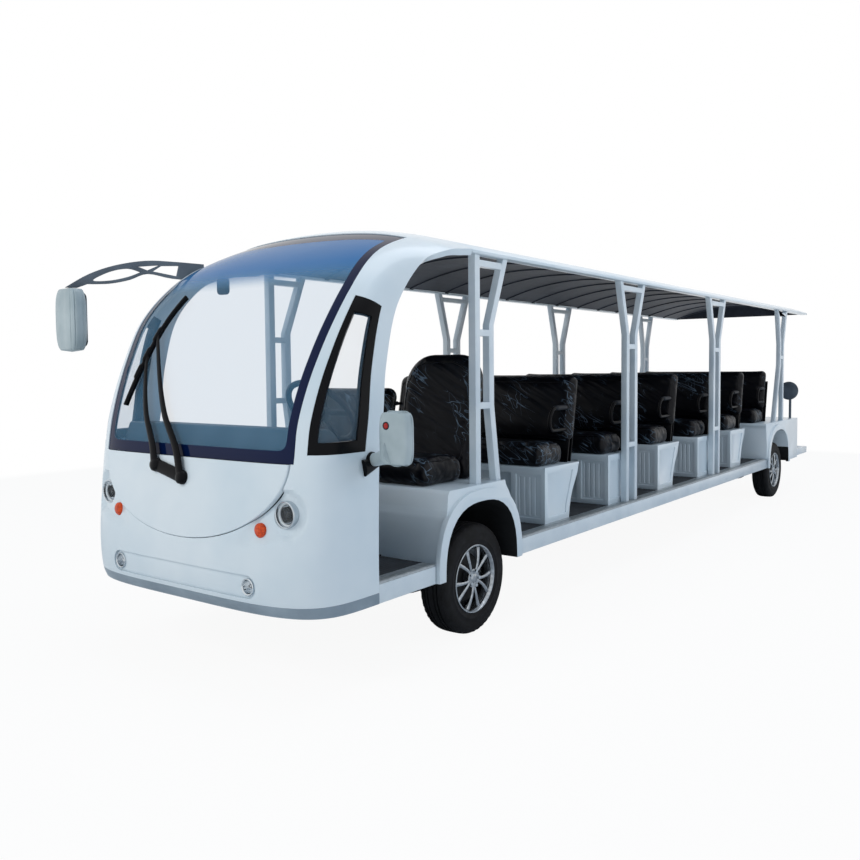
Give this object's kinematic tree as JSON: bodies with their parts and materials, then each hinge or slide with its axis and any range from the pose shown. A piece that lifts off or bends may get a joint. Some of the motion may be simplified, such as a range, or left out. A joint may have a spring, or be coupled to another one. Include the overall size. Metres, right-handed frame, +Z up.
{
  "type": "open-sided electric shuttle bus",
  "caption": "Long open-sided electric shuttle bus with a moulded cab, curved windscreen, bench rows under a roof on twin-tube pillars, and steered front wheels.",
  "frame": {"origin": "on the ground under the middle of the bus's overall length and width", "axes": "+X forward (driving direction), +Y to the bus's left, +Z up"},
  "size_m": [7.8198, 2.1, 2.033],
  "materials": {
    "white_shell": "gloss white moulding with a cool tint",
    "white_steel": "gloss white paint",
    "grey_moulding": "satin grey moulding",
    "black_frame": "satin black",
    "tinted_glass": "blue tinted glass",
    "black_plastic": "grained black plastic",
    "floor_rubber": "dark ribbed floor covering",
    "nosing_aluminium": "brushed aluminium",
    "chassis_black": "black chassis paint",
    "lining_grey": "dark grey ceiling cloth",
    "black_vinyl": "glossy black artificial leather",
    "lamp_chrome": "chrome bowl behind a clear lens",
    "lamp_clear": "clear lamp lens",
    "lamp_amber": "amber lens",
    "lamp_red": "red lens",
    "mirror_face": "dark gloss disc with a grey rim",
    "tyre_black": "road tyre rubber",
    "alloy_silver": "silver alloy"
  },
  "bodies": {
    "bus": {"chassis_frame": "chassis_black", "floor_deck": "floor_rubber", "side_sills": "white_steel", "step_nosings": "nosing_aluminium", "front_shell": "white_shell", "front_panel": "white_shell", "bumper_lip": "grey_moulding", "fog_strip": "white_shell", "windscreen": "tinted_glass", "quarter_frames": "black_frame", "quarter_glass": "tinted_glass", "dashboard": "black_plastic", "steering_column": "black_plastic", "front_housing": "white_shell", "rear_housing": "white_shell", "front_pillars": "white_steel", "middle_pillars": "white_steel", "rear_pillars": "white_steel", "roof_skin": "white_shell", "roof_lining": "lining_grey", "bench_bases": "white_shell", "bench_cushions": "black_vinyl", "bench_backs": "black_vinyl", "bench_frames": "black_frame", "cab_cushions": "black_vinyl", "cab_backs": "black_vinyl", "rear_step": "white_shell", "tail_lamps": "lamp_red", "headlamps": "lamp_chrome", "indicators": "lamp_amber", "fog_lamps": "lamp_chrome", "lamp_lenses": "lamp_clear", "left_mirror": "grey_moulding", "right_mirror_arm": "grey_moulding", "right_mirror": "grey_moulding", "inner_mirror": "black_frame", "corner_mirrors": "mirror_face", "wiper": "black_frame", "battery_pack": "chassis_black", "front_axle": "chassis_black", "rear_axle": "chassis_black", "leaf_springs": "chassis_black"},
    "knuckle_l": {"knuckle_left": "chassis_black"},
    "knuckle_r": {"knuckle_right": "chassis_black"},
    "wheel_fl": {"tyre_front_left": "tyre_black", "rim_front_left": "alloy_silver"},
    "wheel_fr": {"tyre_front_right": "tyre_black", "rim_front_right": "alloy_silver"},
    "wheel_rl": {"tyre_rear_left": "tyre_black", "rim_rear_left": "alloy_silver"},
    "wheel_rr": {"tyre_rear_right": "tyre_black", "rim_rear_right": "alloy_silver"},
    "steering": {"steering_wheel": "black_plastic"}
  },
  "joints": [
    {"name": "steer_left", "type": "hinge", "parent": "bus", "child": "knuckle_l", "pos_m": [2.72, 0.6255, 0.275], "axis": [0, 0, 1], "range_deg": [-30, 30]},
    {"name": "steer_right", "type": "hinge", "parent": "bus", "child": "knuckle_r", "pos_m": [2.72, -0.6255, 0.275], "axis": [0, 0, 1], "range_deg": [-30, 30]},
    {"name": "steering_wheel_turn", "type": "hinge", "parent": "bus", "child": "steering", "pos_m": [3.389, 0.36, 1.124], "axis": [-0.766, 0, 0.6428], "range_deg": [-450, 450]},
    {"name": "spin_front_left", "type": "hinge", "parent": "knuckle_l", "child": "wheel_fl", "pos_m": [2.72, 0.6675, 0.275], "axis": [0, 1, 0], "continuous": true},
    {"name": "spin_front_right", "type": "hinge", "parent": "knuckle_r", "child": "wheel_fr", "pos_m": [2.72, -0.6675, 0.275], "axis": [0, 1, 0], "continuous": true},
    {"name": "spin_rear_left", "type": "hinge", "parent": "bus", "child": "wheel_rl", "pos_m": [-2.588, 0.6675, 0.275], "axis": [0, 1, 0], "continuous": true},
    {"name": "spin_rear_right", "type": "hinge", "parent": "bus", "child": "wheel_rr", "pos_m": [-2.588, -0.6675, 0.275], "axis": [0, 1, 0], "continuous": true}
  ],
  "couplings": [
    {"joint": "steer_right", "follows": "steer_left", "ratio": 1},
    {"joint": "steering_wheel_turn", "follows": "steer_left", "ratio": 15}
  ]
}
